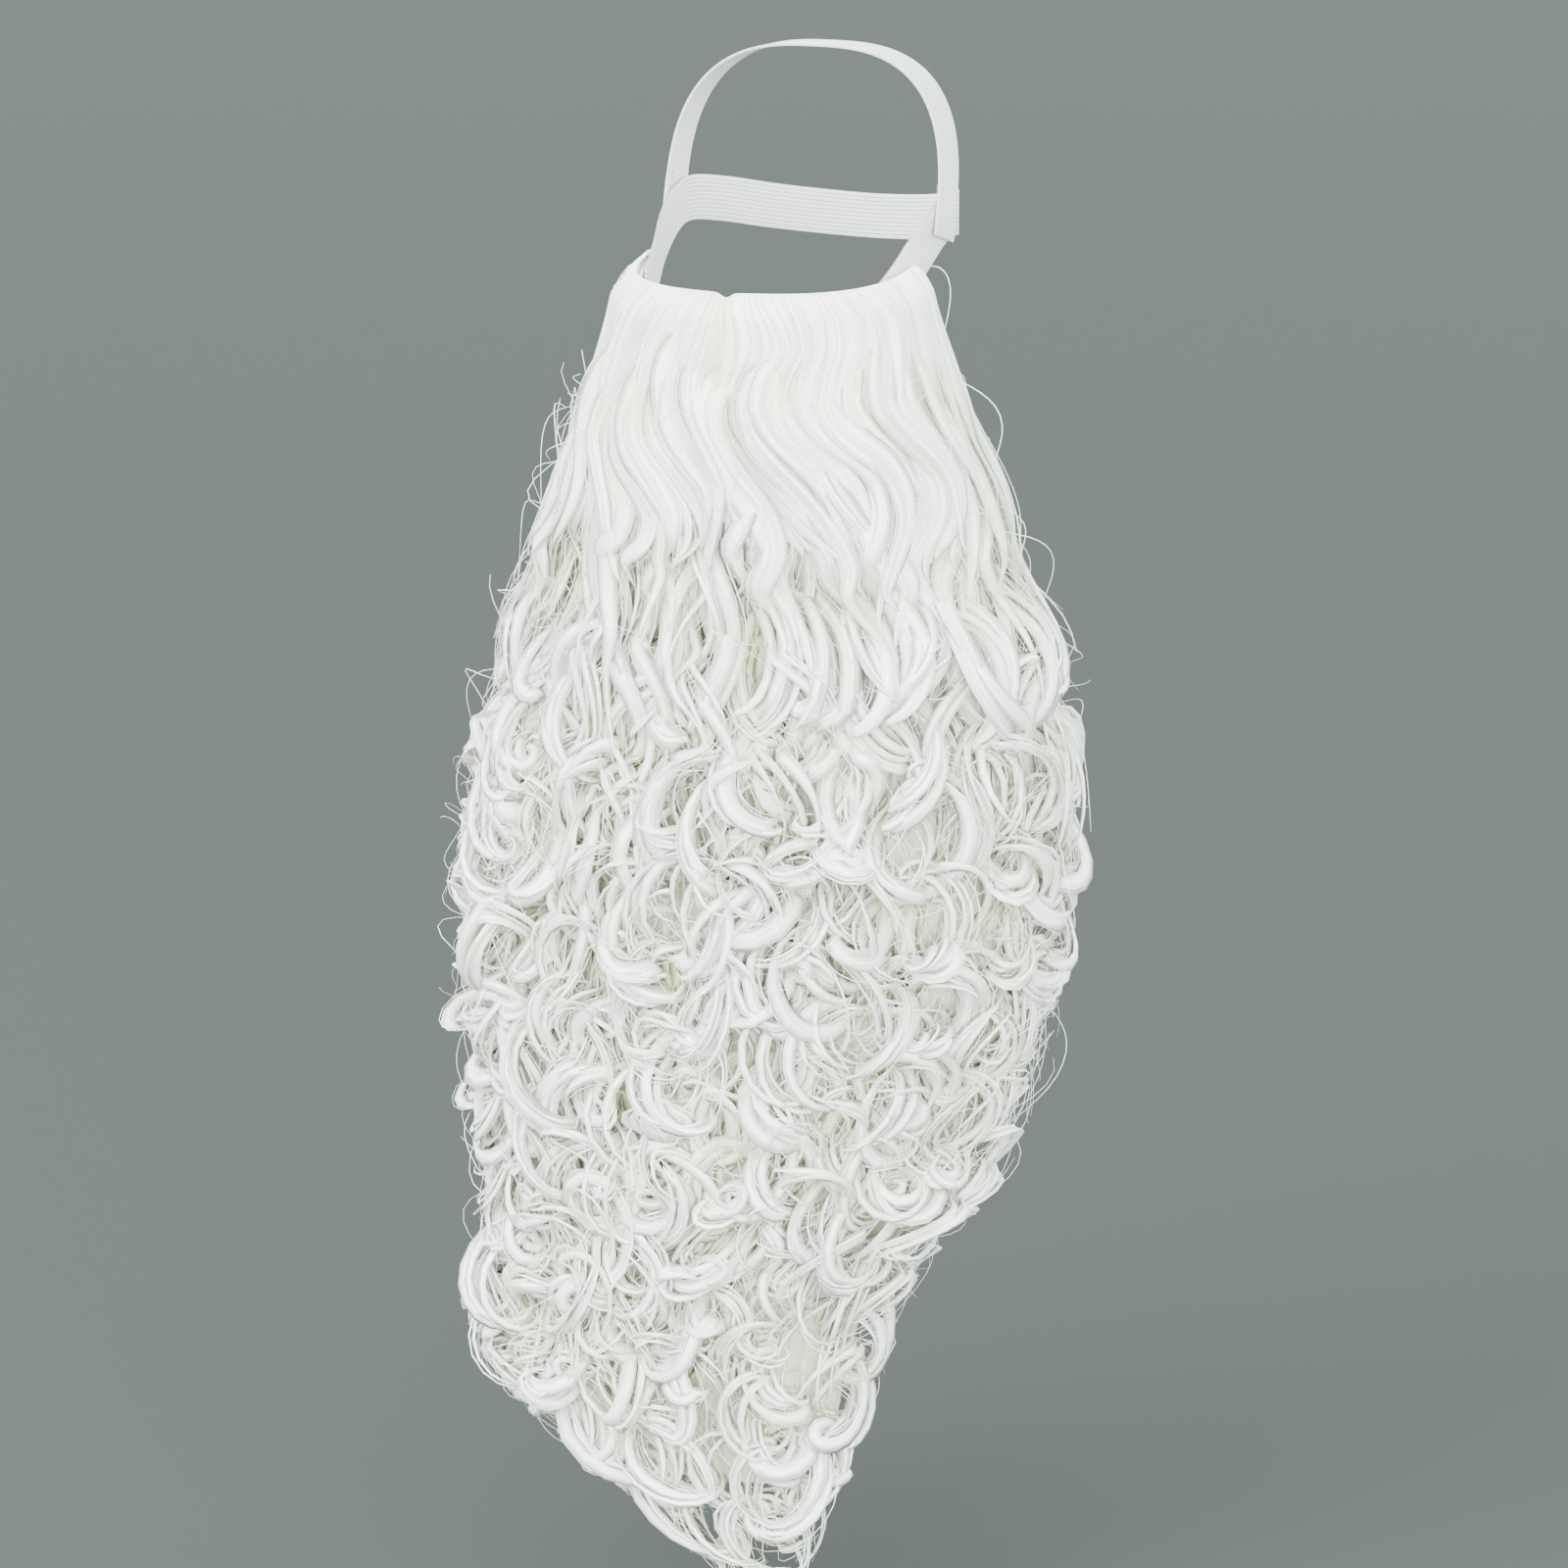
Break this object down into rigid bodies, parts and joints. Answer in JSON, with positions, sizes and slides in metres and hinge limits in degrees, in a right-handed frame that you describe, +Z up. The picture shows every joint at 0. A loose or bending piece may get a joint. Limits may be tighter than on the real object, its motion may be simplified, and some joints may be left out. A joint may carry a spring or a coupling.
{
  "type": "false beard",
  "caption": "Long false beard of white curled hair on a cloth backing, with a parted moustache and elastic straps that pass behind and over the head.",
  "frame": {"origin": "underside of the crown strap at its middle, where the strap sits on the top of the head", "axes": "+Z up, -Y the way the wearer faces, +X the wearer's left"},
  "size_m": [0.3773, 0.2907, 0.816],
  "materials": {
    "hair_fibre": "glossy white synthetic fibre",
    "elastic_webbing": "matt white ribbed elastic",
    "backing_cloth": "matt off-white cloth"
  },
  "bodies": {
    "root": {"crown_strap": "elastic_webbing", "back_strap": "elastic_webbing", "backing": "backing_cloth", "beard_upper": "hair_fibre", "beard_lower": "hair_fibre", "moustache_left": "hair_fibre", "moustache_right": "hair_fibre"}
  },
  "joints": []
}
